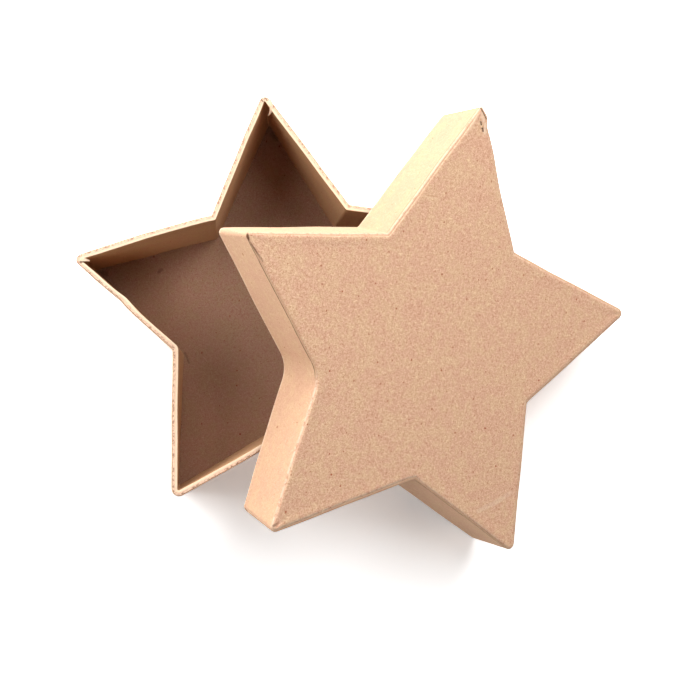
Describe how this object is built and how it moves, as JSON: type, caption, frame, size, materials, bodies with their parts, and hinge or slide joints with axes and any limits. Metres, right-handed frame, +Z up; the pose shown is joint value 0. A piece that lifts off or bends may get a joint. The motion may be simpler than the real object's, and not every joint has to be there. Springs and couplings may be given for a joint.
{
  "type": "papier-mache star box",
  "caption": "Star-shaped papier-mache box of plain kraft-covered board: open tray with its lift-off lid leaning over one side, propped on the tray and the table.",
  "frame": {"origin": "centre of the tray's underside, on the surface that the box stands on", "axes": "+Z up through the open tray; +Y towards the tray's upper point; the lid leans over the tray's +X side and slopes down between +X and -Y"},
  "size_m": [0.1825, 0.1559, 0.0789],
  "materials": {
    "board": "matte",
    "wrap_paper": "matte",
    "face_paper": "matte"
  },
  "bodies": {
    "root": {"tray_wall": "board", "tray_floor": "board", "tray_wrap": "wrap_paper", "tray_base_sheet": "face_paper", "lid_wall": "board", "lid_top": "board", "lid_wrap": "wrap_paper", "lid_face_sheet": "face_paper"}
  },
  "joints": []
}
